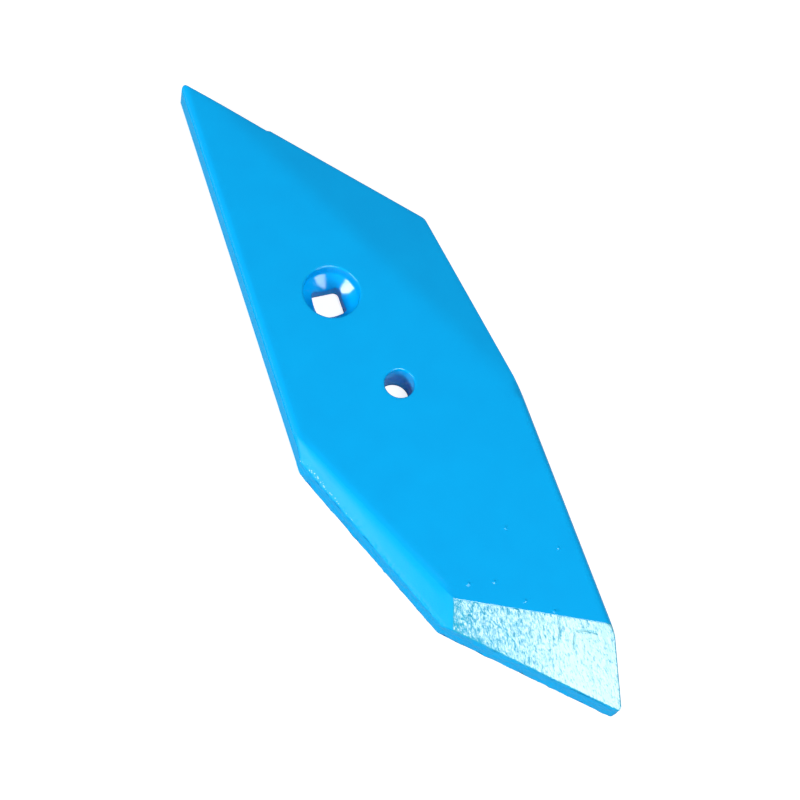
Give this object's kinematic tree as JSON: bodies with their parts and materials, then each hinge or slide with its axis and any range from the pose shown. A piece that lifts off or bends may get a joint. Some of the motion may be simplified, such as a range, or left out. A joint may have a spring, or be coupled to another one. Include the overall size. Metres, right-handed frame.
{
  "type": "plowshare point",
  "caption": "Flat steel share point with a slanting heel, a bevelled cutting edge, a sunk square-neck bolt hole and a plain locating hole, painted blue.",
  "frame": {"origin": "on the bolt hole's axis, in the plane of the flat back face", "axes": "+Z out of the front face, +Y along the bar towards the heel, +X across the bar away from the landside edge"},
  "size_m": [0.1016, 0.322, 0.015],
  "materials": {
    "blue_paint": "gloss"
  },
  "bodies": {
    "root": {"share_point": "blue_paint"}
  },
  "joints": []
}
